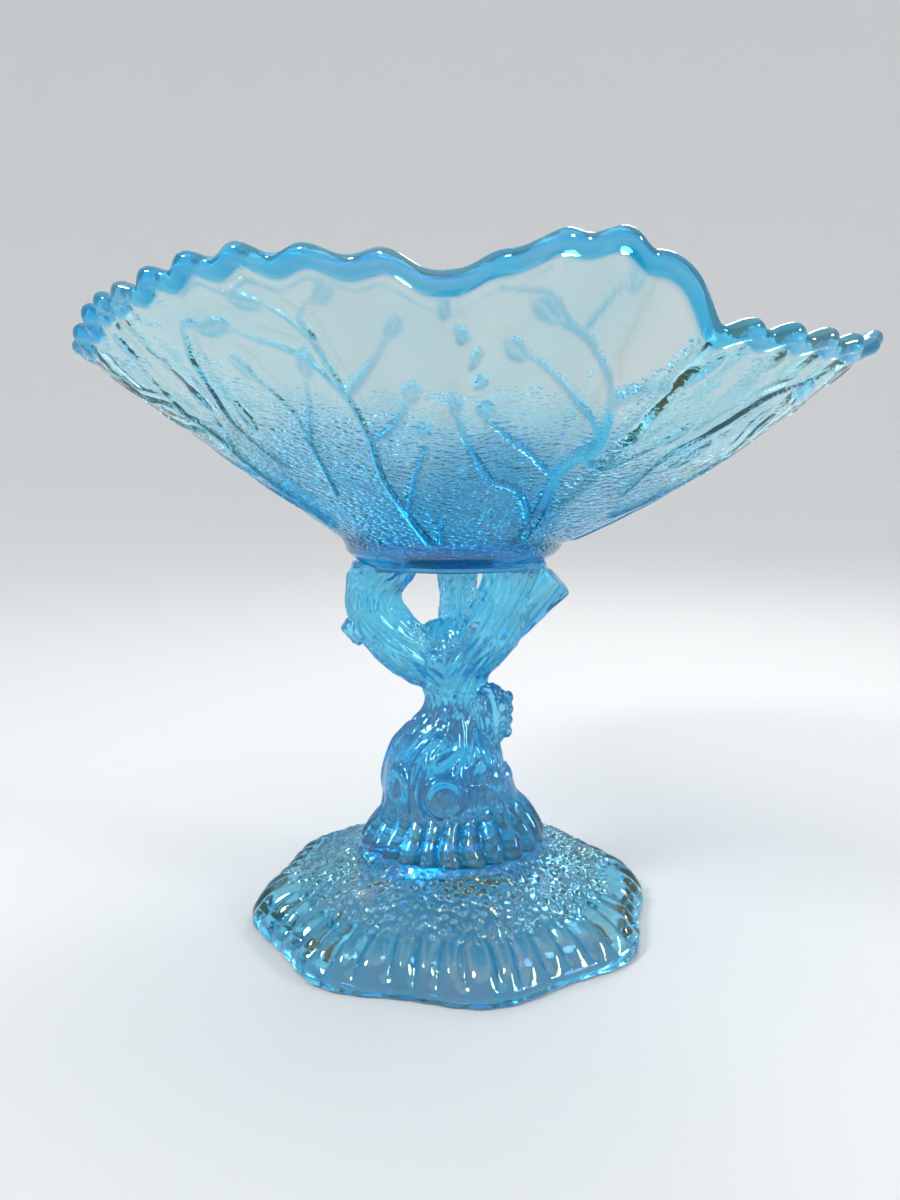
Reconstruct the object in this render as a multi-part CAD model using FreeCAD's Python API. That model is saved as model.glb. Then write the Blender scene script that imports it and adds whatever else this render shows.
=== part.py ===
import FreeCAD, Part
import math
import os

# Footed compote of pressed carnival glass: a lobed, hollow domed foot, a tree-trunk stem that forks
# into three branches, and a flared bowl whose rim is crimped into ruffles and small scallops.
# Millimetres. The origin is the centre of the standing face, +Z is up and -Y is the front.

# ---- driving dimensions ----
# foot
foot_radius = 77.0
foot_lobes = 8
foot_lobe_depth = 2.0
foot_lobe_turn = 10.0      # degrees from the right to the nearest lobe
foot_ring_height = 6.5
foot_ring_width = 6.5
dome_top_height = 31.0
dome_wall = 5.5
dome_flutes = 48

# trunk
skirt_radius = 36.0
skirt_top_height = 44.0
root_count = 22
base_top_height = 71.0
neck_top_height = 98.0
fork_top_height = 113.0

# bowl
collar_radius = 37.0
collar_underside = 141.5
floor_height = 147.0
rim_radius = 142.0
rim_mean_height = 217.0
rim_shift_right = 8.0      # the bowl leans out to the right and a little to the back
rim_shift_back = 3.0
rim_pull_in = 0.3          # a rim pushed up by 1 mm draws in by this much
wall_foot_width = 6.0
wall_thickness = 4.4
wall_belly = 3.0           # how far the wall bows outwards between the collar and the rim
wall_belly_right = 3.0     # more than that on the right, less on the left
scallops = 46
scallop_depth = 3.6
scallop_start = -97.3      # angle of one scallop's tip, in degrees
scallop_spread = 3.0       # crimping spread the scallops by up to this many degrees either way
bead_height = 6.5
bead_radius = 3.7

# where the soft rim was pushed up or down: angle round the bowl in degrees, height of the rim
crimps = [
    (-165, 219), (-145, 228), (-118, 234), (-101, 231), (-90, 225), (-81, 233),
    (-74, 236.5), (-67.5, 233), (-60.5, 214), (-35, 214), (-15, 221), (8, 221),
    (32, 213), (55, 204), (90, 202), (120, 200), (145, 212), (170, 219),
]

AROUND = 4 * scallops      # poles round the bowl, four to a scallop


def vector(x, y, z):
    return FreeCAD.Vector(x, y, z)


# ---- surfaces from rings of poles ----
def clamped_knots(count, degree):
    inner = count - degree - 1
    return [degree + 1] + [1] * inner + [degree + 1], list(range(inner + 2))


def skin(rings):
    """A smooth face through rings of poles: closed round each ring, open from first to last."""
    degree = min(3, len(rings) - 1)
    mults, knots = clamped_knots(len(rings), degree)
    count = len(rings[0])
    surface = Part.BSplineSurface()
    surface.buildFromPolesMultsKnots(
        rings, mults, [1] * (count + 1), knots, list(range(count + 1)), False, True, degree, 3
    )
    return surface.toShape()


def cap(ring):
    """The flat face inside one flat ring of poles."""
    count = len(ring)
    curve = Part.BSplineCurve()
    curve.buildFromPolesMultsKnots(ring, [1] * (count + 1), list(range(count + 1)), True, 3)
    return Part.Face(Part.Wire(curve.toShape()))


def band(outer, inner):
    """The flat face between two level rings of poles."""
    return cap(outer).cut(cap(inner)).Faces[0]


def closed_solid(skins, flats=()):
    """One solid from skins that share their end rings, closed by flat faces."""
    faces = Part.Compound([skin(rings) for rings in skins] + list(flats))
    faces.sewShape()
    solid = Part.Solid(faces.Shells[0])
    if solid.Volume < 0:
        solid.reverse()
    return solid


def capped_solid(rings):
    """One solid whose skin runs through rings of poles, closed by a flat face at each end."""
    return closed_solid([rings], [cap(rings[0]), cap(rings[-1])])


def level_ring(radius, height, count=48, centre=(0.0, 0.0), stretch=1.0, waves=0, depth=0.0, turn=0.0):
    """A flat horizontal ring, round or with waves pushed in and out; stretch is depth over width."""
    ring = []
    for step in range(count):
        angle = 2 * math.pi * step / count
        reach = radius + depth * math.cos(waves * (angle - math.radians(turn)))
        ring.append(vector(
            centre[0] + reach * math.cos(angle), centre[1] + stretch * reach * math.sin(angle), height
        ))
    return ring


def ring_across(centre, direction, radius, count=16):
    """A round ring square to a direction."""
    along = vector(*direction).normalize()
    side = along.cross(vector(0, 1, 0.2)).normalize()
    other = along.cross(side)
    ring = []
    for step in range(count):
        angle = 2 * math.pi * step / count
        ring.append(vector(*centre) + side * (radius * math.cos(angle)) + other * (radius * math.sin(angle)))
    return ring


def limb(stations, end_height=None):
    """A branch through stations (x, y, z, radius), its last ring level when end_height is given."""
    rings = []
    last = len(stations) - 1
    for number, (x, y, z, radius) in enumerate(stations):
        before = stations[max(number - 1, 0)]
        after = stations[min(number + 1, last)]
        direction = [after[axis] - before[axis] for axis in range(3)]
        if number == last and end_height is not None:
            direction = (0, 0, 1)
        rings.append(ring_across((x, y, z), direction, radius))
    return capped_solid(rings)


# ---- foot ----
def foot_outline(radius, height):
    return level_ring(radius, height, 96, waves=foot_lobes, depth=foot_lobe_depth, turn=foot_lobe_turn)


def make_foot_ring():
    top = foot_ring_height
    inner = foot_radius - foot_ring_width
    outside = [
        foot_outline(foot_radius - 1.0, 0), foot_outline(foot_radius + 0.6, 0.6),
        foot_outline(foot_radius + 0.4, top * 0.6), foot_outline(foot_radius - 1.2, top),
    ]
    inside = [foot_outline(inner - 1.4, top), foot_outline(inner, 0)]
    return closed_solid([outside, inside], [band(outside[-1], inside[0]), band(outside[0], inside[-1])])


def make_foot_dome():
    base = foot_ring_height
    inner = foot_radius - foot_ring_width - 1.4
    rise = dome_top_height - base
    outside = [
        foot_outline(foot_radius - 1.2, base),
        foot_outline(foot_radius - 3.5, base + 0.18 * rise),
        level_ring(foot_radius - 10, base + 0.33 * rise, 96, waves=dome_flutes, depth=0.3),
        level_ring(foot_radius - 21, base + 0.50 * rise, 96),
        level_ring(skirt_radius + 7, base + 0.76 * rise, 96),
        level_ring(skirt_radius, dome_top_height, 96),
    ]
    ceiling = dome_top_height - dome_wall
    inside = [
        level_ring(24, ceiling, 96),
        level_ring(44, ceiling - 2, 96),
        level_ring(60, base + 4, 96),
        foot_outline(inner, base),
    ]
    flats = [cap(outside[-1]), cap(inside[0]), band(outside[0], inside[-1])]
    return closed_solid([outside, inside], flats)


# ---- trunk ----
def trunk_ring(radius, height, shift=0.0, roots=0.4):
    return level_ring(radius, height, 88, (shift, 0), 0.96, root_count, roots)


def make_root_skirt():
    rings = [
        trunk_ring(skirt_radius - 0.5, dome_top_height, roots=1.3),
        trunk_ring(skirt_radius + 0.2, dome_top_height + 2.5, roots=1.3),
        trunk_ring(31.0, skirt_top_height - 5, roots=1.0),
        trunk_ring(25.5, skirt_top_height, -1.0),
    ]
    return capped_solid(rings)


def make_trunk_base():
    rings = [
        trunk_ring(25.5, skirt_top_height, -1.0),
        trunk_ring(27.0, skirt_top_height + 6, -2.0),
        trunk_ring(26.5, skirt_top_height + 14, -3.0),
        trunk_ring(22.0, base_top_height - 5, 0.0),
        trunk_ring(19.5, base_top_height, 1.2),
    ]
    return capped_solid(rings)


def make_trunk_neck():
    rings = [
        trunk_ring(19.5, base_top_height, 1.2),
        trunk_ring(15.5, base_top_height + 7, 1.8),
        trunk_ring(11.2, base_top_height + 15, 2.2),
        trunk_ring(11.2, neck_top_height - 6, 1.5),
        trunk_ring(14.5, neck_top_height, -0.5),
    ]
    return capped_solid(rings)


def make_trunk_fork():
    rings = [
        trunk_ring(14.5, neck_top_height, -0.5),
        trunk_ring(17.5, neck_top_height + 5, -0.5),
        trunk_ring(15.0, neck_top_height + 11, 0.0),
        trunk_ring(7.0, fork_top_height, 1.0),
    ]
    return capped_solid(rings)


def make_knot(centre, outwards, radius, height):
    """A round knot that stands on the trunk, as a swelling with a dished end."""
    inner = [centre[axis] - 10 * outwards[axis] for axis in range(3)]
    outer = [centre[axis] + height * outwards[axis] for axis in range(3)]
    rings = [
        ring_across(inner, outwards, radius),
        ring_across(centre, outwards, radius),
        ring_across(outer, outwards, radius * 0.95),
        ring_across(outer, outwards, radius * 0.45),
    ]
    return capped_solid(rings)


def make_burl_beads():
    """Small round beads in two rows up the outside of the side burl."""
    beads = []
    for number in range(5):
        height = 75.5 + 4.6 * number
        reach = 6.9 + 0.9 * math.sin(math.pi * number / 4)
        for turn, lift, radius in ((-5, 0.0, 2.3), (-42, 2.2, 2.1)):
            angle = math.radians(turn)
            place = vector(13.0 + reach * math.cos(angle), -4 + reach * math.sin(angle), height + lift)
            beads.append(Part.makeSphere(radius, place))
    return beads


# ---- bowl ----
def rim_height(angle):
    """Height of the ruffled rim at an angle in degrees, eased from one crimp to the next."""
    turns = crimps + [(crimps[0][0] + 360, crimps[0][1])]
    place = (angle - crimps[0][0]) % 360 + crimps[0][0]
    for (start, low), (end, high) in zip(turns, turns[1:]):
        if start <= place <= end:
            share = (place - start) / (end - start)
            return low + (high - low) * (1 - math.cos(math.pi * share)) / 2


def scallop_wave(angle):
    """From -0.6 in the notch between two scallops to 0.4 at a scallop's tip; angle in degrees."""
    spread = scallop_spread * math.sin(math.radians(4 * (angle + 100)))
    return abs(math.cos(math.radians(scallops * (angle - spread - scallop_start) / 2))) - 0.6


def wall_ring(share, offset, beyond=0.0):
    """
    A ring of poles on the wall: share runs from the collar (0) to the rim (1), offset is the distance
    out from the middle of the glass, and beyond carries the ring past the wall's end.
    """
    ring = []
    for step in range(AROUND):
        angle = 2 * math.pi * step / AROUND
        degrees = math.degrees(angle)
        edge = rim_height(degrees)
        shift = rim_shift_right * math.cos(angle) + rim_shift_back * math.sin(angle)
        run = rim_radius + shift - rim_pull_in * (edge - rim_mean_height) - wall_start_radius
        rise = edge - floor_height
        length = math.hypot(run, rise) - bead_height
        slope = math.atan2(rise, run)
        along = length * share + beyond + scallop_depth * scallop_wave(degrees) * share ** 6
        belly = wall_belly + wall_belly_right * math.cos(angle)
        across = offset + belly * math.sin(math.pi * share)
        reach = wall_start_radius + along * math.cos(slope) + across * math.sin(slope)
        height = floor_height + along * math.sin(slope) - across * math.cos(slope)
        ring.append(vector(reach * math.cos(angle), reach * math.sin(angle), height))
    return ring


def floor_ring(radius):
    return level_ring(radius, floor_height, AROUND)


def make_collar():
    rings = [
        level_ring(collar_radius - 2, collar_underside, AROUND),
        level_ring(collar_radius + 0.5, collar_underside, AROUND),
        level_ring(collar_radius + 0.5, collar_underside + 3, AROUND),
        floor_ring(collar_radius),
    ]
    return capped_solid(rings)


wall_start_radius = collar_radius - wall_foot_width / 2
WALL_SHARES = (0.06, 0.18, 0.35, 0.55, 0.75, 0.9, 1.0)


def make_bowl_wall():
    half = wall_thickness / 2
    outside = [floor_ring(collar_radius)] + [wall_ring(share, half) for share in WALL_SHARES]
    inside = [floor_ring(collar_radius - wall_foot_width)]
    inside += [wall_ring(share, -half) for share in WALL_SHARES]
    return closed_solid([outside, [outside[-1], inside[-1]], inside], [band(outside[0], inside[0])])


def make_bowl_rim():
    half = wall_thickness / 2
    section = [
        (0.0, half), (0.5, bead_radius), (0.75 * bead_height, bead_radius), (bead_height, 0.6 * half),
        (bead_height, -0.6 * half), (0.75 * bead_height, -bead_radius), (0.5, -bead_radius), (0.0, -half),
    ]
    lip = [wall_ring(1.0, offset, beyond) for beyond, offset in section]
    return closed_solid([lip, [lip[-1], lip[0]]])


# ---- assembly: later pieces give way to the glass they grow from ----
def fitted(shape, *neighbours):
    for neighbour in neighbours:
        shape = max(shape.cut(neighbour).Solids, key=lambda solid: solid.Volume)
    return shape


def build_parts():
    parts = {
        "foot_ring": make_foot_ring(),
        "foot_dome": make_foot_dome(),
        "root_skirt": make_root_skirt(),
        "trunk_base": make_trunk_base(),
        "trunk_neck": make_trunk_neck(),
        "trunk_fork": make_trunk_fork(),
        "collar": make_collar(),
        "bowl_wall": make_bowl_wall(),
        "bowl_rim": make_bowl_rim(),
    }
    neck, base, fork = parts["trunk_neck"], parts["trunk_base"], parts["trunk_fork"]
    under = collar_underside

    left = limb([
        (-4, 0, 99, 10), (-13, -3, 103, 11), (-24, -6, 113, 11.5), (-31, -8, 123, 11.8),
        (-31, -8, 133, 11.5), (-25.5, -8, under, 12.5),
    ], under)
    right = limb([
        (3, -2, 99, 9), (8, -5, 106, 11), (14, -8, 114, 12), (21, -9, 127, 12.5), (25, -9, under, 12),
    ], under)
    back = limb([(1, 5, 99, 8), (4, 14, 108, 9), (5.5, 22, 122, 9.2), (6, 25, under, 10)], under)
    parts["branch_left"] = fitted(left, fork, neck)
    parts["branch_right"] = fitted(right, fork, neck, parts["branch_left"])
    parts["branch_back"] = fitted(back, fork, neck, parts["branch_left"], parts["branch_right"])

    twig = limb([(-32, -9, 119, 5.5), (-37, -10, 117.5, 5.2), (-42, -11, 116, 4.8)])
    sawn_end = limb([(20, -9, 122, 9), (30, -11, 128.5, 9), (38, -12.5, 133, 8.4)])
    parts["branch_left_twig"] = fitted(twig, parts["branch_left"])
    parts["branch_right_sawn_end"] = fitted(sawn_end, parts["branch_right"])

    front_knot = make_knot((-3, -25.0, 54), (0, -1, 0), 8.0, 3.0)
    left_knot = make_knot((-21.0, -15.5, 56), (-0.82, -0.57, 0), 6.5, 3.0)
    parts["front_knot"] = fitted(front_knot, base, parts["root_skirt"])
    parts["left_knot"] = fitted(left_knot, base, parts["front_knot"])
    side_burl = limb([(11, -3, 72, 7), (14.5, -4, 80, 8.5), (13.5, -4, 88, 8), (9, -3, 95, 5)])
    parts["side_burl"] = fitted(side_burl, neck, base, fork, parts["branch_right"])
    beads = [fitted(bead, parts["side_burl"], neck, base) for bead in make_burl_beads()]
    parts["burl_beads"] = Part.Compound(beads)
    return parts


os.makedirs("parts", exist_ok=True)
for name, shape in build_parts().items():
    shape.exportStep(f"parts/{name}.step")
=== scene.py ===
import bmesh
import bpy
import math
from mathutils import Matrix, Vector, kdtree, noise


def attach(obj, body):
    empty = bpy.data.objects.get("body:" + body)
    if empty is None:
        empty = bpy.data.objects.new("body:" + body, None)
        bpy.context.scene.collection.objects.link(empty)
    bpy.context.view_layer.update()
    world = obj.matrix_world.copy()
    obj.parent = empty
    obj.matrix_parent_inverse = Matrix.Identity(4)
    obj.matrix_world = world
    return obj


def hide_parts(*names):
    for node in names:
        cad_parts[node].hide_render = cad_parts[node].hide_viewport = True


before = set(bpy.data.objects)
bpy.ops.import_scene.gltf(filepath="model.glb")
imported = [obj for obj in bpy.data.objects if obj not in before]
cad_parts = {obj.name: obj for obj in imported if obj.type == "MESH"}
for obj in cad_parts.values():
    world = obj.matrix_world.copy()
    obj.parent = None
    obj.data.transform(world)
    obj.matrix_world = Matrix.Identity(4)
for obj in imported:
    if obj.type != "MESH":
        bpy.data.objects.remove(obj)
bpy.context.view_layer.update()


# ---------------------------------------------------------------------------------------------
# Foot: the hollow, domed base, pressed in the mould together with the trunk. Its lip is drawn
# into eight soft lobes, its outer zone is ribbed and its shoulder is covered in small pebbles.
# The spray that gives the glass its golden lustre lies thickest here.
# ---------------------------------------------------------------------------------------------
mm = 0.001
foot_steps = 720
foot_top = 31.0
hollow_top = 25.5
foot_lobes = 8
foot_lobe_depth = 2.4
foot_lobe_turn = math.radians(10)
foot_ribs = 48
foot_rib_depth = 2.5
pebble_spacing = 2.75
pebble_height = 1.5


def smooth_line(points, spacing):
    """Points about one spacing apart on a smooth line that passes through the given ones."""
    ends = [points[0]] + list(points) + [points[-1]]
    line = []
    for number in range(1, len(ends) - 2):
        before, start, end, after = (Vector(ends[number + step]) for step in (-1, 0, 1, 2))
        cuts = max(1, round((end - start).length / spacing))
        for cut in range(cuts):
            t = cut / cuts
            line.append(0.5 * (
                2 * start + (end - before) * t + (2 * before - 5 * start + 4 * end - after) * t ** 2
                + (3 * start - before - 3 * end + after) * t ** 3
            ))
    line.append(Vector(ends[-1]))
    return line


def turned(name, profile, steps):
    """A closed shape of revolution about Z from (radius, height) points in mm, from pole to pole."""
    bpy.ops.object.select_all(action="DESELECT")
    start = (profile[0][0] * mm, 0, profile[0][1] * mm)
    bpy.ops.mesh.primitive_plane_add(size=0.001, location=start)
    piece = bpy.context.object
    piece.name = name
    bpy.ops.object.transform_apply(location=True, rotation=True, scale=True)
    bpy.ops.object.mode_set(mode="EDIT")
    bpy.ops.mesh.merge(type="CENTER")
    for before, after in zip(profile, profile[1:]):
        step = ((after[0] - before[0]) * mm, 0, (after[1] - before[1]) * mm)
        bpy.ops.mesh.extrude_region_move(TRANSFORM_OT_translate={"value": step})
    bpy.ops.mesh.select_all(action="SELECT")
    bpy.ops.mesh.spin(steps=steps, angle=2 * math.pi, center=(0, 0, 0), axis=(0, 0, 1))
    bpy.ops.mesh.select_all(action="SELECT")
    bpy.ops.mesh.remove_doubles(threshold=0.00001)
    bpy.ops.mesh.normals_make_consistent(inside=False)
    bpy.ops.object.mode_set(mode="OBJECT")
    return piece


def eased(value, start, end):
    """0 at start and before, 1 at end and after, smooth between them."""
    share = min(max((value - start) / (end - start), 0.0), 1.0)
    return share * share * (3 - 2 * share)


dome = smooth_line([
    (36, foot_top), (41, 27.4), (46.5, 24.0), (54.5, 19.7), (60.6, 17.0), (66.8, 14.1), (71.6, 10.9),
    (75.4, 6.6),
], 0.62)
lip = smooth_line([
    (75.4, 6.6), (76.9, 4.4), (77.3, 2.4), (76.9, 0.8), (75.8, 0.1), (74.4, 0.0), (72.4, 0.0), (70.9, 0.5),
    (70.0, 2.0), (69.2, 5.0),
], 0.9)
hollow = smooth_line([
    (69.2, 5.0), (66.2, 9.0), (60, 12.6), (52, 17.0), (44, 20.9), (33, 24.4), (24, hollow_top),
], 2.2)
foot_profile = [(0, foot_top), (12, foot_top), (24, foot_top)]
foot_profile += [tuple(point) for point in dome + lip[1:] + hollow[1:]]
foot_profile += [(12, hollow_top), (0, hollow_top)]
foot = turned("foot", foot_profile, foot_steps)

foot_tint_and_painted_shade = foot.data.attributes.new("tint", "FLOAT", "POINT")
for vertex in foot.data.vertices:
    x, y, z = vertex.co / mm
    reach = math.hypot(x, y)
    if reach < 34:
        continue
    angle = math.atan2(y, x)
    outline = foot_lobe_depth * math.cos(foot_lobes * (angle - foot_lobe_turn)) * eased(reach, 50, 76)
    # only the outer skin is worked; the hollow underneath stays plain
    outside = z > foot_top - (reach - 36) * 0.66 - 1.2 or reach > 71
    push = 0.0
    tint = 0.55
    if outside and z > 0.3:
        # ribs run down the outer zone, each a little uneven
        wander = 0.5 * noise.noise(Vector((math.cos(angle) * 6, math.sin(angle) * 6, reach * 0.05)))
        rib = abs(math.cos(foot_ribs * angle / 2 + wander * 1.6))
        rib_share = eased(reach, 57, 63) * (1 - 0.55 * eased(reach, 74, 77))
        push += (rib - 0.6) * foot_rib_depth * rib_share
        # pebbles cover the shoulder and fade out between the ribs
        cell = noise.voronoi(Vector((x, y, z)) / pebble_spacing)[0]
        pebble = max(0.0, 1 - (cell[0] / 0.62) ** 2)
        push += (pebble - 0.45) * pebble_height * eased(reach, 36.5, 39) * (1 - eased(reach, 60, 67))
        # the tint is deeper in the valleys between the ribs, which is painted shade; over the pebbles it
        # follows the thicker glass
        tint = 0.5 + 0.3 * pebble * (1 - rib_share) + 0.5 * rib_share * (1 - rib)
    push += 0.25 * noise.noise(Vector((x, y, z)) / 9)
    swell = (reach + outline + push * 0.55) / reach
    lift = push * 0.8 * (1 - eased(reach, 72, 77)) if outside else 0.0
    vertex.co = Vector((x * swell, y * swell, max(z + lift, 0.0) if z > 0.0 else 0.0)) * mm
    foot_tint_and_painted_shade.data[vertex.index].value = tint


def pressed_glass(name, film, roughness, grain_size, grain_depth, azure, painted_glow):
    """
    Ice blue glass: clear in a thin wall, azure in a thick one, under a thin metallic film. The grain is
    what the iron mould leaves on the skin of the glass. Sizes in mm, the film's thickness in nm. The painted
    glow is the share of thick or stippled glass painted as a diffuse azure glow instead of letting light
    through.
    """
    glass = bpy.data.materials.new(name)
    glass.use_nodes = True
    nodes = glass.node_tree.nodes
    links = glass.node_tree.links
    shader = nodes["Principled BSDF"]
    shader.inputs["IOR"].default_value = 1.5
    shader.inputs["Thin Film IOR"].default_value = 1.75
    depth = nodes.new("ShaderNodeVolumeAbsorption")
    depth.inputs["Color"].default_value = (0.04, 0.87, 0.98, 1)
    depth.inputs["Density"].default_value = 60.0
    links.new(depth.outputs["Volume"], nodes["Material Output"].inputs["Volume"])
    place = nodes.new("ShaderNodeTexCoord")

    # the sprayed film is uneven, so its colour wanders between gold, green and rose
    cloud = nodes.new("ShaderNodeTexNoise")
    cloud.inputs["Scale"].default_value = 42.0
    cloud.inputs["Detail"].default_value = 3.0
    links.new(place.outputs["Object"], cloud.inputs["Vector"])
    thickness = nodes.new("ShaderNodeMapRange")
    thickness.inputs["From Min"].default_value = 0.3
    thickness.inputs["From Max"].default_value = 0.7
    thickness.inputs["To Min"].default_value = film[0]
    thickness.inputs["To Max"].default_value = film[1]
    links.new(cloud.outputs["Fac"], thickness.inputs["Value"])
    links.new(thickness.outputs["Result"], shader.inputs["Thin Film Thickness"])
    gloss = nodes.new("ShaderNodeMapRange")
    gloss.inputs["From Min"].default_value = 0.25
    gloss.inputs["From Max"].default_value = 0.75
    gloss.inputs["To Min"].default_value = roughness[0]
    gloss.inputs["To Max"].default_value = roughness[1]
    links.new(cloud.outputs["Fac"], gloss.inputs["Value"])
    links.new(gloss.outputs["Result"], shader.inputs["Roughness"])

    # where light runs inside the glass, at the rim and in the relief, it comes out azure
    tint = nodes.new("ShaderNodeAttribute")
    tint.attribute_name = "tint"
    colour = nodes.new("ShaderNodeMix")
    colour.data_type = "RGBA"
    colour.inputs["A"].default_value = (0.955, 0.985, 0.995, 1)
    colour.inputs["B"].default_value = azure
    links.new(tint.outputs["Fac"], colour.inputs["Factor"])
    links.new(colour.outputs["Result"], shader.inputs["Base Color"])
    # the deeper the tint, the more of the glass is painted as a diffuse azure glow instead of letting light
    # through: painted light
    clearness = nodes.new("ShaderNodeMapRange")
    clearness.name = "clearness"
    clearness.inputs["From Min"].default_value = 0.15
    clearness.inputs["To Min"].default_value = 1.0
    clearness.inputs["To Max"].default_value = 1.0 - painted_glow
    links.new(tint.outputs["Fac"], clearness.inputs["Value"])
    links.new(clearness.outputs["Result"], shader.inputs["Transmission Weight"])

    grain = nodes.new("ShaderNodeTexNoise")
    grain.inputs["Scale"].default_value = 1000.0 / grain_size
    grain.inputs["Detail"].default_value = 2.0
    links.new(place.outputs["Object"], grain.inputs["Vector"])
    skin = nodes.new("ShaderNodeBump")
    skin.inputs["Strength"].default_value = 0.5
    skin.inputs["Distance"].default_value = grain_depth * mm
    links.new(grain.outputs["Fac"], skin.inputs["Height"])
    links.new(skin.outputs["Normal"], shader.inputs["Normal"])
    return glass


def finished(piece, glass, slot, *nodes):
    """Smooth shading, the glass, and the calls that tie a piece to the frame."""
    bpy.ops.object.select_all(action="DESELECT")
    piece.select_set(True)
    bpy.context.view_layer.objects.active = piece
    bpy.ops.object.shade_smooth_by_angle(angle=math.radians(62))
    piece.data.materials.clear()
    piece.data.materials.append(glass)
    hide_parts(*nodes)
    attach(piece, "root")


foot_glass = pressed_glass(
    "lustred_foot_glass", film=(215, 262), roughness=(0.02, 0.07), grain_size=1.6, grain_depth=0.12,
    azure=(0.08, 0.58, 0.92, 1), painted_glow=0.04,
)
finished(foot, foot_glass, "lustred_ice_blue_glass", "foot_ring", "foot_dome")


# ---------------------------------------------------------------------------------------------
# Trunk: the solid stem, pressed as a gnarled tree. A fluted skirt of roots stands on the foot,
# then come the swollen lower trunk, the narrow neck and the crotch where the branches part.
# ---------------------------------------------------------------------------------------------
# a limb's stations are (x, y, z, radius) in mm
trunk_line = [
    (0, 0, 27, 35.0), (0, 0, 31, 35.6), (0, 0, 33.2, 35.6), (-0.3, 0, 37, 33.6), (-0.6, 0, 41, 30.0),
    (-1.2, 0, 46, 25.6), (-2.2, 0, 53, 26.4), (-2.4, 0, 59, 25.4), (-1.4, 0, 66, 22.2), (1.0, 0, 72, 18.6),
    (1.8, 0, 78, 15.4), (2.1, 0, 84, 12.4), (1.9, 0, 90, 11.8), (0.6, 0, 96, 13.6), (-0.5, 0, 102, 15.8),
    (0, 0, 109, 14.2), (0.4, 0, 114, 12.6), (0.6, 0, 118, 8.0),
]


def grown(name, stations, corners=32):
    """A limb through the given stations, extruded from a disc and rounded off."""
    bpy.ops.object.select_all(action="DESELECT")
    directions = []
    for number in range(len(stations)):
        before = Vector(stations[max(number - 1, 0)][:3])
        after = Vector(stations[min(number + 1, len(stations) - 1)][:3])
        directions.append((after - before).normalized())
    first = Vector(stations[0][:3]) * mm
    tilt = Vector((0, 0, 1)).rotation_difference(directions[0]).to_euler()
    bpy.ops.mesh.primitive_circle_add(
        vertices=corners, radius=stations[0][3] * mm, fill_type="NGON", location=first, rotation=tilt
    )
    piece = bpy.context.object
    piece.name = name
    bpy.ops.object.transform_apply(location=True, rotation=True, scale=True)
    bpy.ops.object.mode_set(mode="EDIT")
    for number in range(1, len(stations)):
        step = (Vector(stations[number][:3]) - Vector(stations[number - 1][:3])) * mm
        bpy.ops.mesh.extrude_region_move(TRANSFORM_OT_translate={"value": step})
        turn = directions[number - 1].rotation_difference(directions[number])
        centre = Vector(stations[number][:3]) * mm
        ratio = stations[number][3] / stations[number - 1][3]
        edit = bmesh.from_edit_mesh(piece.data)
        for vertex in edit.verts:
            if vertex.select:
                vertex.co = centre + (turn @ (vertex.co - centre)) * ratio
        bmesh.update_edit_mesh(piece.data)
    bpy.ops.mesh.select_all(action="SELECT")
    bpy.ops.mesh.normals_make_consistent(inside=False)
    bpy.ops.object.mode_set(mode="OBJECT")
    rounding = piece.modifiers.new("rounding", "SUBSURF")
    rounding.levels = 2
    rounding.render_levels = 2
    bpy.ops.object.modifier_apply(modifier=rounding.name)
    return piece


trunk = grown("trunk", trunk_line, 48)


# ---------------------------------------------------------------------------------------------
# Branches: three limbs that part at the crotch and carry the bowl's collar. The left one is bent
# like an elbow, the right one runs straight up and outwards, and the rear one is slimmer.
# ---------------------------------------------------------------------------------------------
left_line = [
    (-4, 0, 98, 9), (-12, -3, 103, 10.6), (-22.5, -6, 112, 10.8), (-30, -8, 122, 11.0),
    (-30.5, -8, 131, 10.4), (-28, -8, 137, 11.0), (-25, -8, 142, 12.6), (-24, -8, 146, 13.5),
]
right_line = [
    (3, -2, 98, 9), (8, -5, 106, 10.4), (14, -8, 114, 11.2), (20, -9, 124, 11.6), (23, -9, 133, 11.0),
    (24, -9, 139, 11.4), (24, -9, 146, 13.0),
]
back_line = [
    (1, 5, 99, 8), (2.5, 14, 108, 8.2), (2.6, 21, 121, 7.4), (2.2, 23, 134, 7.6), (2, 24, 146, 9.6),
]
left_branch = grown("left_branch", left_line)
right_branch = grown("right_branch", right_line)
back_branch = grown("back_branch", back_line)


# ---------------------------------------------------------------------------------------------
# Sawn limbs: a short stub left where a twig was cut from the left branch, and the big sawn end
# of the right branch, which stands out past the collar with flat, angular sides.
# ---------------------------------------------------------------------------------------------
twig_line = [
    (-31, -9, 122, 5.4), (-34, -10, 118.5, 5.3), (-37.8, -11.2, 114.2, 5.5), (-39, -11.5, 113, 5.4),
]
twig = grown("twig", twig_line, 10)
sawn_start = Vector((20, -9.5, 117))
sawn_end = Vector((38.8, -12.5, 136.2))
sawn_line = sawn_end - sawn_start
bpy.ops.object.select_all(action="DESELECT")
bpy.ops.mesh.primitive_cylinder_add(
    vertices=6, radius=8.6 * mm, depth=sawn_line.length * mm, location=(sawn_start + sawn_end) / 2 * mm,
    rotation=Vector((0, 0, 1)).rotation_difference(sawn_line.normalized()).to_euler(),
)
sawn_limb = bpy.context.object
sawn_limb.name = "sawn_limb"
bpy.ops.object.transform_apply(location=True, rotation=True, scale=True)
arris = sawn_limb.modifiers.new("arris", "BEVEL")
arris.width = 0.8 * mm
arris.segments = 2
bpy.ops.object.modifier_apply(modifier=arris.name)


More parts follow.
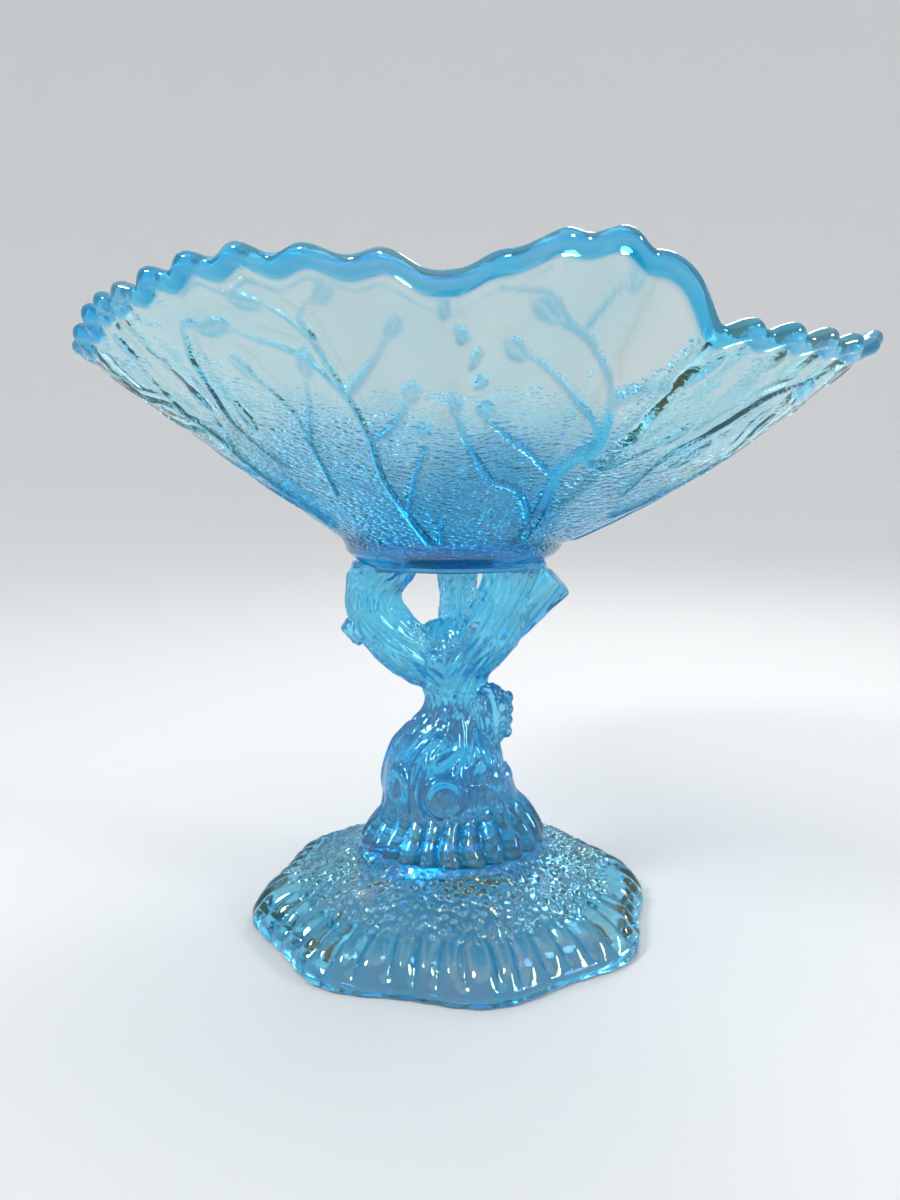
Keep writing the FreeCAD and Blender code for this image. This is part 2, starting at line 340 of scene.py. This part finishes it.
# ---------------------------------------------------------------------------------------------
# Knots and burls: a ringed knot stares from the front of the lower trunk, a hollow one from its
# left, and a burl set with two rows of small round beads swells from the right of the neck.
# ---------------------------------------------------------------------------------------------
knots = []
for centre, outwards, ring_radius in (
    ((-3, -24.6, 54), (0, -1, 0.05), 6.6), ((-20.6, -15.2, 56.5), (-0.82, -0.57, 0.05), 5.2),
):
    facing = Vector((0, 0, 1)).rotation_difference(Vector(outwards).normalized()).to_euler()
    for radius, thickness, around, across in (
        (ring_radius, 1.9, 48, 16), (ring_radius * 0.45, 1.25, 32, 12),
    ):
        bpy.ops.object.select_all(action="DESELECT")
        bpy.ops.mesh.primitive_torus_add(
            major_radius=radius * mm, minor_radius=thickness * mm, major_segments=around,
            minor_segments=across, location=Vector(centre) * mm, rotation=facing,
        )
        knots.append(bpy.context.object)
        bpy.ops.object.transform_apply(location=True, rotation=True, scale=True)

burl = grown("burl", [(10, -3, 69, 7.0), (13.4, -4, 76, 8.8), (13.8, -4, 84, 9.2), (11.0, -3, 93, 7.0)])
beads_in_row = 4
for number in range(beads_in_row):
    reach = 8.0 + 1.0 * math.sin(math.pi * (number + 0.5) / beads_in_row)
    for turn, lift, radius in ((-5, 0.0, 2.3), (-42, 2.2, 2.1)):
        bpy.ops.object.select_all(action="DESELECT")
        bpy.ops.mesh.primitive_uv_sphere_add(segments=20, ring_count=12, radius=radius * mm, location=(
            (13.2 + reach * math.cos(math.radians(turn))) * mm,
            (-4 + reach * math.sin(math.radians(turn))) * mm,
            (75.0 + 4.3 * number + lift) * mm,
        ))
        knots.append(bpy.context.object)
        bpy.ops.object.transform_apply(location=True, rotation=True, scale=True)


# ---------------------------------------------------------------------------------------------
# Crown: the thin disc of glass at the top of the branches, on which the bowl's collar sits.
# It was pressed with them, so its underside runs into each branch in a soft fillet.
# ---------------------------------------------------------------------------------------------
crown_radius = 34.5
crown_depth = 6.0
crown_middle = 142.7
bpy.ops.object.select_all(action="DESELECT")
bpy.ops.mesh.primitive_cylinder_add(
    vertices=96, radius=crown_radius * mm, depth=crown_depth * mm, location=(0, 0, crown_middle * mm)
)
crown = bpy.context.object
crown.name = "crown"
bpy.ops.object.transform_apply(location=True, rotation=True, scale=True)


# ---------------------------------------------------------------------------------------------
# Stem: all of that is one mass of glass, so the limbs are run together, the bark is worked into
# the skin along every limb, and the two ends are cut level to meet the foot and the collar.
# ---------------------------------------------------------------------------------------------
stem_bottom = 30.7
stem_top = 141.8
skin_detail = 0.62
calm_spots = ((Vector((-3, -25.5, 54)), 8.0), (Vector((-21.5, -15.8, 56.5)), 6.5))
bpy.ops.object.select_all(action="DESELECT")
for limb in [trunk, left_branch, right_branch, back_branch, twig, sawn_limb, burl, crown] + knots:
    limb.select_set(True)
bpy.context.view_layer.objects.active = trunk
bpy.ops.object.join()
stem = trunk
stem.name = "stem"
fusing = stem.modifiers.new("fusing", "REMESH")
fusing.mode = "VOXEL"
fusing.voxel_size = skin_detail * mm
bpy.ops.object.modifier_apply(modifier=fusing.name)
melting = stem.modifiers.new("melting", "SMOOTH")
melting.factor = 0.5
melting.iterations = 5
bpy.ops.object.modifier_apply(modifier=melting.name)

# the middle lines of the limbs, which the grooves of the bark follow
limb_points = []
for number, stations in enumerate((trunk_line, left_line, right_line, back_line)):
    line = smooth_line([station[:3] for station in stations], 1.5)
    run = 0.0
    for before, after in zip(line, line[1:]):
        run += (after - before).length
        limb_points.append((after, (after - before).normalized(), run, number))
limb_finder = kdtree.KDTree(len(limb_points))
for number, point in enumerate(limb_points):
    limb_finder.insert(point[0], number)
limb_finder.balance()

bark_tint_and_painted_shade = stem.data.attributes.new("tint", "FLOAT", "POINT")
places = [vertex.co / mm for vertex in stem.data.vertices]
normals = [vertex.normal.copy() for vertex in stem.data.vertices]
for vertex, place, normal in zip(stem.data.vertices, places, normals):
    centre, number, distance = limb_finder.find(place)
    direction, run, limb = limb_points[number][1:]
    side = direction.cross(Vector((0.2, 1, 0))).normalized()
    spoke = place - centre
    angle = math.atan2(spoke.dot(direction.cross(side)), spoke.dot(side))
    run += spoke.dot(direction)
    ring = Vector((math.cos(angle), math.sin(angle), 0)) * (2.2 + 0.09 * distance)
    ring.z = run * 0.042 + limb * 9.7
    twist = noise.noise(Vector((ring.x * 0.5, ring.y * 0.5, run * 0.06 + limb))) * 0.5
    ring.x += twist
    flow = noise.noise(ring * 1.25)
    fine = noise.noise(Vector((ring.x * 2.6, ring.y * 2.6, ring.z * 2.2 + 4.1)))
    ridge = 1 - abs(flow) * 4.2
    depth = 0.72 * max(ridge, -0.9) + 0.20 * (1 - abs(fine) * 4)
    # the bark keeps off the knots and off the flat sides of the sawn limb
    calm = eased(min((place - middle).length - reach for middle, reach in calm_spots), -1.0, 3.0)
    calm *= 1 - 0.9 * eased(place.x, 27, 32) * eased(place.z, 116, 121) * (1 - eased(place.z, 137, 139))
    if limb == 0 and place.z < 50:
        # the skirt's roots are plump and even, with sharp folds between them
        around = math.atan2(place.y, place.x + 0.6)
        sway = 0.35 * noise.noise(Vector((math.cos(around) * 3, math.sin(around) * 3, place.z * 0.12)))
        root = abs(math.cos(12 * around + sway * 2))
        skirt = 1 - eased(place.z, 42, 50)
        depth = depth * (1 - 0.9 * skirt) + (root - 0.62) * 3.2 * skirt
    depth *= 1 - eased(place.z, 137.5, 139.5)
    vertex.co = (place + normal * depth * (0.25 + 0.75 * calm)) * mm
    # the tint is deeper in the grooves of the bark and paler on its ridges: painted shade
    bark_tint_and_painted_shade.data[vertex.index].value = 0.72 + 0.28 * max(-1.0, min(1.0, -depth))

bpy.ops.object.mode_set(mode="EDIT")
for height, above in ((stem_bottom, False), (stem_top, True)):
    bpy.ops.mesh.select_all(action="SELECT")
    bpy.ops.mesh.bisect(
        plane_co=(0, 0, height * mm), plane_no=(0, 0, 1), use_fill=True, clear_inner=not above,
        clear_outer=above,
    )
bpy.ops.object.mode_set(mode="OBJECT")
stem_glass = pressed_glass(
    "trunk_glass", film=(190, 240), roughness=(0.02, 0.06), grain_size=2.4, grain_depth=0.12,
    azure=(0.12, 0.64, 0.93, 1), painted_glow=0.13,
)
finished(
    stem, stem_glass, "ice_blue_glass", "root_skirt", "trunk_base", "trunk_neck", "trunk_fork", "front_knot",
    "left_knot", "side_burl", "burl_beads", "branch_left", "branch_left_twig", "branch_right",
    "branch_right_sawn_end", "branch_back",
)


# ---------------------------------------------------------------------------------------------
# Bowl: pressed with the stem as an even, flared bowl with a thick collar under its floor, then
# crimped at the rim while soft. The plunger leaves the inside plain; the mould leaves branching
# twigs, leaves and a fine stipple outside, and a thumbprint under each scallop of the rim.
# ---------------------------------------------------------------------------------------------
bowl_steps = 736
floor_height = 147.0
wall_start = 34.0
rim_radius = 142.0
rim_mean_height = 217.0
bead_height = 6.5
half_wall = 2.1
scallops = 46
scallop_start = -97.3
scallop_depth = 1.8
scallop_drift = 3.0
rim_drawn_aside = (8.0, 3.0)
# the floor's tint runs past one, which gives it a little painted glow
floor_tint = 1.25
# the rim's low and high places as (degrees round, height in mm)
crimps = [
    (-165, 219), (-145, 228), (-118, 234), (-101, 231), (-90, 225), (-81, 233),
    (-74, 236.5), (-67.5, 233), (-60.5, 214), (-35, 214), (-15, 221), (8, 221),
    (32, 213), (55, 204), (90, 202), (120, 200), (145, 212), (170, 219),
]

# the even cone that the mould gives, before the rim is crimped
cone_slope = math.atan2(rim_mean_height - floor_height, rim_radius - wall_start)
cone_length = math.hypot(rim_mean_height - floor_height, rim_radius - wall_start) - bead_height


def on_cone(along, across):
    """(radius, height) in mm of a place on the even cone: along the wall, and out from its middle."""
    return (
        wall_start + along * math.cos(cone_slope) + across * math.sin(cone_slope),
        floor_height + along * math.sin(cone_slope) - across * math.cos(cone_slope),
    )


wall_rings = 92
outer_wall = [
    on_cone(cone_length * (0.07 + 0.93 * step / wall_rings), half_wall) for step in range(wall_rings)
]
bead = [
    on_cone(cone_length + beyond, across) for beyond, across in (
        (0.0, 2.2), (1.2, 2.5), (2.6, 2.75), (4.0, 2.65), (5.2, 2.1), (6.1, 1.2), (6.5, 0.0),
        (6.1, -1.2), (5.2, -2.1), (4.0, -2.65), (2.6, -2.75), (1.2, -2.5), (0.0, -2.2),
    )
]
inner_wall = [on_cone(cone_length * (0.98 - 0.88 * step / 18), -half_wall) for step in range(19)]
bowl_profile = [(0, 141.5), (20, 141.5), (33.4, 141.5), (35.4, 141.8), (37.2, 142.6), (38.8, 143.9)]
bowl_profile += [(40.6, 145.6)] + outer_wall + bead + inner_wall
bowl_profile += [(36, 149.0), (31.5, 147.4), (27, 147.0), (12, 147.0), (0, 147.0)]
bowl = turned("bowl", bowl_profile, bowl_steps)

# twigs of the relief as (width in mm, height in mm, then places as degrees round and share up the wall)
twigs = [
    (1.7, 0.95, [(-100, 0.08), (-106, 0.25), (-108, 0.38), (-107, 0.54), (-108, 0.67), (-110, 0.84)]),
    (1.3, 0.8, [(-108, 0.67), (-102, 0.77), (-99, 0.84)]),
    (1.3, 0.8, [(-105, 0.23), (-99, 0.40), (-95, 0.53)]),
    (1.3, 0.8, [(-95, 0.09), (-94, 0.24)]),
    (1.2, 0.7, [(-107, 0.52), (-101, 0.58), (-97.5, 0.66)]),
    (1.3, 0.8, [(-108, 0.66), (-111.6, 0.76), (-115.9, 0.80), (-122.3, 0.86)]),
    (1.1, 0.7, [(-109.5, 0.84), (-110.3, 0.90), (-107, 0.94)]),
    (1.1, 0.6, [(-110, 0.84), (-113, 0.90), (-117, 0.93)]),
    (1.7, 0.95, [
        (-62, 0.15), (-64.5, 0.30), (-66, 0.44), (-64, 0.60), (-66.4, 0.73), (-71, 0.80), (-76, 0.85),
    ]),
    (1.4, 0.8, [(-62.5, 0.19), (-71.5, 0.31), (-81, 0.38), (-86, 0.50), (-89.5, 0.66)]),
    (1.3, 0.8, [(-65.5, 0.40), (-75.2, 0.48), (-84.4, 0.61)]),
    (1.2, 0.8, [(-64, 0.60), (-70.5, 0.66), (-79.7, 0.78)]),
    (1.2, 0.7, [(-70.6, 0.80), (-74.1, 0.84), (-79.1, 0.93), (-84.7, 0.98)]),
    (1.3, 0.7, [(-65.2, 0.69), (-63.1, 0.81), (-61.2, 0.89)]),
    (1.1, 0.6, [(-72.4, 0.84), (-70.7, 0.93), (-69.3, 0.97)]),
    (1.2, 0.7, [(-134.7, 0.84), (-137.8, 0.71), (-141.1, 0.60), (-139, 0.42)]),
    (1.2, 0.7, [(-134.7, 0.84), (-131, 0.90), (-127, 0.93)]),
    (1.1, 0.6, [(-128, 0.30), (-124, 0.45), (-122, 0.60), (-125, 0.72)]),
    (1.1, 0.6, [(-123.5, 0.50), (-118, 0.60), (-115, 0.70)]),
    (1.1, 0.6, [(-64, 0.52), (-59.3, 0.59), (-55.6, 0.66)]),
    (1.0, 0.5, [(-128, 1.0), (-118, 0.97), (-104, 0.985), (-92, 0.965), (-79, 0.98)]),
]
# leaves and buds as (degrees round, share up the wall, lean in degrees, length, width, height in mm)
leaves = [
    (-91, 0.975, 20, 8.5, 4.4, 0.9), (-89, 0.90, -25, 8.5, 4.2, 0.9), (-87, 0.82, 15, 8.0, 4.0, 0.9),
    (-86, 0.74, -20, 7.5, 3.8, 0.9), (-97.5, 0.88, 35, 12, 5.0, 0.55), (-95.5, 0.58, 30, 10, 4.5, 0.5),
    (-126, 0.885, -75, 19, 7.5, 0.6), (-118, 0.935, -55, 15, 6.5, 0.55), (-105.5, 0.955, 40, 13, 6, 0.55),
    (-78.5, 0.885, -45, 15, 6.5, 0.6), (-60, 0.92, 25, 16, 6.5, 0.6), (-69, 0.985, 10, 12, 5.5, 0.5),
    (-81.5, 0.80, -40, 13, 6, 0.55), (-89.8, 0.69, -10, 11, 5, 0.5), (-54.5, 0.70, 25, 15, 6.5, 0.55),
    (-135, 0.62, 15, 17, 7.5, 0.5), (-113, 0.76, 25, 15, 6.5, 0.55), (-126, 0.76, -15, 14, 6, 0.5),
    (-84.5, 0.64, -35, 11, 5, 0.5), (-96.5, 0.70, 25, 12, 5.5, 0.5),
]
relief_turns = (0, 90, 180, 270)


def cone_place(degrees, share):
    """A place on the even cone's middle, in mm."""
    radius, height = on_cone(cone_length * share, 0)
    return Vector((
        radius * math.cos(math.radians(degrees)), radius * math.sin(math.radians(degrees)), height
    ))


twig_points = []
for turn in relief_turns:
    for width, height, strokes in twigs:
        line = smooth_line([cone_place(degrees + turn, share) for degrees, share in strokes], 0.6)
        for number, point in enumerate(line):
            taper = 1 - 0.45 * number / len(line)
            twig_points.append((point, width * taper, height * taper))
twig_finder = kdtree.KDTree(len(twig_points))
for number, point in enumerate(twig_points):
    twig_finder.insert(point[0], number)
twig_finder.balance()

leaf_spots = []
for turn in relief_turns:
    for degrees, share, lean, length, width, height in leaves:
        middle = cone_place(degrees + turn, share)
        upwards = (cone_place(degrees + turn, share + 0.05) - middle).normalized()
        angle = math.radians(degrees + turn)
        sideways = Vector((-math.sin(angle), math.cos(angle), 0))
        lengthways = upwards * math.cos(math.radians(lean)) + sideways * math.sin(math.radians(lean))
        crossways = lengthways.cross(upwards.cross(sideways)).normalized()
        leaf_spots.append((middle, lengthways, crossways, length / 2, width / 2, height))
leaf_finder = kdtree.KDTree(len(leaf_spots))
for number, spot in enumerate(leaf_spots):
    leaf_finder.insert(spot[0], number)
leaf_finder.balance()


def relief_height(place):
    """Height in mm of the twigs and leaves at a place on the even cone."""
    number, distance = twig_finder.find(place)[1:]
    width, height = twig_points[number][1:]
    rise = 1.3 * height * max(0.0, 1 - (distance / (width * 1.25)) ** 2) ** 1.2
    for spot in leaf_finder.find_range(place, 10.0):
        middle, lengthways, crossways, half_length, half_width, height = leaf_spots[spot[1]]
        away = place - middle
        along = away.dot(lengthways) / half_length
        across = away.dot(crossways) / half_width
        blade = 1 - along * along - abs(across) ** 1.4
        if blade > 0 and abs(along) < 1:
            vein = 0.55 if abs(across) < 0.16 else 1.0
            rise = max(rise, height * min(1.0, blade * 2.4) * vein)
    return rise


# where the soft rim was pushed up or down, how far each part of the wall follows it
columns = []
for step in range(bowl_steps):
    angle = 2 * math.pi * step / bowl_steps
    degrees = math.degrees(angle)
    place = (degrees - crimps[0][0]) % 360 + crimps[0][0]
    around = crimps + [(crimps[0][0] + 360, crimps[0][1])]
    for (start, low), (end, high) in zip(around, around[1:]):
        if start <= place <= end:
            edge = low + (high - low) * (1 - math.cos(math.pi * (place - start) / (end - start))) / 2
    shift = rim_drawn_aside[0] * math.cos(angle) + rim_drawn_aside[1] * math.sin(angle)
    run = rim_radius + shift - 0.3 * (edge - rim_mean_height) - wall_start
    rise = edge - floor_height
    belly = 3.0 + 3.0 * math.cos(angle)
    # the scallops crowd and spread a little, and the front fold is pinched nearly smooth
    drift = scallop_drift * math.sin(math.radians(4 * (degrees + 100)))
    phase = scallops * (degrees - drift - scallop_start) / 360
    pinch = math.exp(-(((degrees + 180) % 360 - 90.5) / 4) ** 2)
    wave = math.cos(2 * math.pi * phase) * (1 - 0.85 * pinch)
    aside = (phase - round(phase)) * 360 / scallops
    columns.append((math.hypot(run, rise) - bead_height, math.atan2(rise, run), belly, wave, aside))

bowl_tint = bowl.data.attributes.new("tint", "FLOAT", "POINT")
bowl_stipple = bowl.data.attributes.new("stipple", "FLOAT", "POINT")
for vertex in bowl.data.vertices:
    x, y, z = vertex.co / mm
    radius = math.hypot(x, y)
    if radius < 30:
        bowl_tint.data[vertex.index].value = floor_tint
        continue
    angle = math.atan2(y, x)
    length, slope, belly, wave, aside = columns[round(angle / (2 * math.pi) * bowl_steps) % bowl_steps]
    run, rise = radius - wall_start, z - floor_height
    along = run * math.cos(cone_slope) + rise * math.sin(cone_slope)
    across = run * math.sin(cone_slope) - rise * math.cos(cone_slope)
    share = min(max(along / cone_length, 0.0), 1.0)
    beyond = max(along - cone_length, 0.0)
    outside = across > 0 and share > 0.06
    relief = 0.0
    mark = 0.0
    if outside and beyond < 3:
        relief = relief_height(Vector((x, y, z)) - Vector((
            math.cos(angle) * math.sin(cone_slope), math.sin(angle) * math.sin(cone_slope),
            -math.cos(cone_slope),
        )) * across) * (1 - eased(share, 0.985, 1.0)) * eased(share, 0.06, 0.10)
        mark = min(relief / 0.6, 1.0)
        relief += 0.13 * noise.noise(Vector((x, y, z)) / 1.3) * (1 - eased(share, 0.5, 0.72))
        relief += 0.22 * noise.noise(Vector((x, y, z)) / 7.0)
        arc = aside * math.radians(1) * radius
        print_near = (arc / 4.6) ** 2 + ((along - cone_length + 1.2) / 3.4) ** 2
        relief -= 1.25 * math.exp(-1.3 * print_near)
    fade = eased(share, 0.0, 0.12)
    knuckle = 1 + 0.10 * wave * eased(share, 0.97, 1.0)
    new_along = length * share + beyond + scallop_depth * wave * share ** 6
    new_across = across * knuckle + relief + belly * math.sin(math.pi * share)
    new_radius = wall_start + new_along * math.cos(slope) + new_across * math.sin(slope)
    new_height = floor_height + new_along * math.sin(slope) - new_across * math.cos(slope)
    new_radius = radius + (new_radius - radius) * fade
    new_height = z + (new_height - z) * fade
    vertex.co = Vector((new_radius * math.cos(angle), new_radius * math.sin(angle), new_height)) * mm
    low = 1 - eased(share + 0.10 * noise.noise(Vector((x, y, z)) / 22), 0.25, 0.72)
    rim = eased(along - cone_length, -0.8, 1.6)
    foot_of_wall = 1 - eased(share, 0.0, 0.14)
    # past one the tint no longer deepens the colour; at the rim it drives the painted glow
    bowl_tint.data[vertex.index].value = min(1.0, 0.93 * low + 0.8 * mark) + 2.0 * rim + 0.25 * foot_of_wall
    bowl_stipple.data[vertex.index].value = (0.04 + 0.96 * low) * (1 - mark) * (1 - rim) if outside else 0.0

bowl_glass = pressed_glass(
    "lustred_bowl_glass", film=(205, 262), roughness=(0.015, 0.05), grain_size=3.0, grain_depth=0.1,
    azure=(0.05, 0.55, 0.92, 1), painted_glow=0.27,
)
bowl_nodes = bowl_glass.node_tree.nodes
bowl_links = bowl_glass.node_tree.links
# only the thick rim glows; the wall stays clear
bowl_nodes["clearness"].inputs["From Min"].default_value = 1.0
bowl_nodes["clearness"].inputs["From Max"].default_value = 2.0
# the stipple is short dashes that run round the bowl, cut in the mould between the twigs
dash_place = bowl_nodes.new("ShaderNodeMapping")
dash_place.inputs["Scale"].default_value = (1.0, 1.0, 2.2)
bowl_links.new(bowl_nodes["Texture Coordinate"].outputs["Object"], dash_place.inputs["Vector"])
dashes = bowl_nodes.new("ShaderNodeTexVoronoi")
dashes.inputs["Scale"].default_value = 450.0
bowl_links.new(dash_place.outputs["Vector"], dashes.inputs["Vector"])
ground = bowl_nodes.new("ShaderNodeAttribute")
ground.attribute_name = "stipple"
cut = bowl_nodes.new("ShaderNodeMath")
cut.operation = "MULTIPLY"
bowl_links.new(dashes.outputs["Distance"], cut.inputs[0])
bowl_links.new(ground.outputs["Fac"], cut.inputs[1])
stipple = bowl_nodes.new("ShaderNodeBump")
stipple.invert = True
stipple.inputs["Strength"].default_value = 1.0
stipple.inputs["Distance"].default_value = 1.5 * mm
bowl_links.new(cut.outputs["Value"], stipple.inputs["Height"])
bowl_links.new(bowl_nodes["Bump"].outputs["Normal"], stipple.inputs["Normal"])
bowl_links.new(stipple.outputs["Normal"], bowl_nodes["Principled BSDF"].inputs["Normal"])
finished(bowl, bowl_glass, "lustred_ice_blue_glass", "collar", "bowl_wall", "bowl_rim")


# ---------------------------------------------------------------------------------------------
# Stage: a plain pale floor of heavy matt paper, laid flat under the compote. It is curved up
# into a wall all round, far enough off for any view.
# ---------------------------------------------------------------------------------------------
sweep = smooth_line([
    (300, 0), (900, 0), (1500, 50), (2100, 240), (2600, 620), (2900, 1200), (3000, 1900), (3000, 2600),
], 150)
stage = turned("stage", [(0, 0)] + [tuple(point) for point in sweep], 96)
bpy.ops.object.select_all(action="DESELECT")
stage.select_set(True)
bpy.context.view_layer.objects.active = stage
bpy.ops.object.shade_smooth()
paper = bpy.data.materials.new("pale_paper")
paper.use_nodes = True
paper_shader = paper.node_tree.nodes["Principled BSDF"]
paper_shader.inputs["Roughness"].default_value = 0.85
paper_shader.inputs["Base Color"].default_value = (0.70, 0.70, 0.695, 1)
stage.data.materials.append(paper)


# ---------------------------------------------------------------------------------------------
# Light: a large soft box from the upper left, a weaker one from the right, one behind to shine
# through the glass, and an even pale sky.
# ---------------------------------------------------------------------------------------------
stem_middle = Vector((0, 0, 0.12))
for name, size, place, power in (
    ("key", 0.24, (-0.75, -0.55, 0.95), 6.5), ("fill", 0.26, (0.95, -0.5, 0.55), 3.0),
    ("back", 0.26, (0.30, 0.70, 0.80), 3.0),
):
    lamp = bpy.data.lights.new(name, "AREA")
    lamp.shape = "SQUARE"
    lamp.size = size
    lamp.energy = power
    holder = bpy.data.objects.new(name, lamp)
    bpy.context.collection.objects.link(holder)
    holder.location = place
    holder.rotation_euler = (stem_middle - Vector(place)).to_track_quat("-Z", "Y").to_euler()
sky = bpy.data.worlds.new("sky")
sky.use_nodes = True
sky_shader = sky.node_tree.nodes["Background"]
sky_shader.inputs["Color"].default_value = (0.93, 0.96, 1.0, 1)
sky_shader.inputs["Strength"].default_value = 1.1
bpy.context.scene.world = sky
bpy.context.scene.view_settings.view_transform = "Standard"
# light crosses many skins of glass in the ruffles before it comes out again
bpy.context.scene.cycles.max_bounces = 24
bpy.context.scene.cycles.transmission_bounces = 24


# ---------------------------------------------------------------------------------------------
# Camera: a short lens close in front of the compote, at the height of the bowl's lower wall and
# tipped down by eight degrees.
# ---------------------------------------------------------------------------------------------
lens = bpy.data.cameras.new("camera")
lens.lens = 30.0
lens.sensor_width = 36.0
lens.clip_start = 0.01
camera = bpy.data.objects.new("camera", lens)
bpy.context.collection.objects.link(camera)
camera.location = (-0.0008, -0.386, 0.180)
camera.rotation_euler = (math.radians(82), 0, 0)
bpy.context.scene.camera = camera
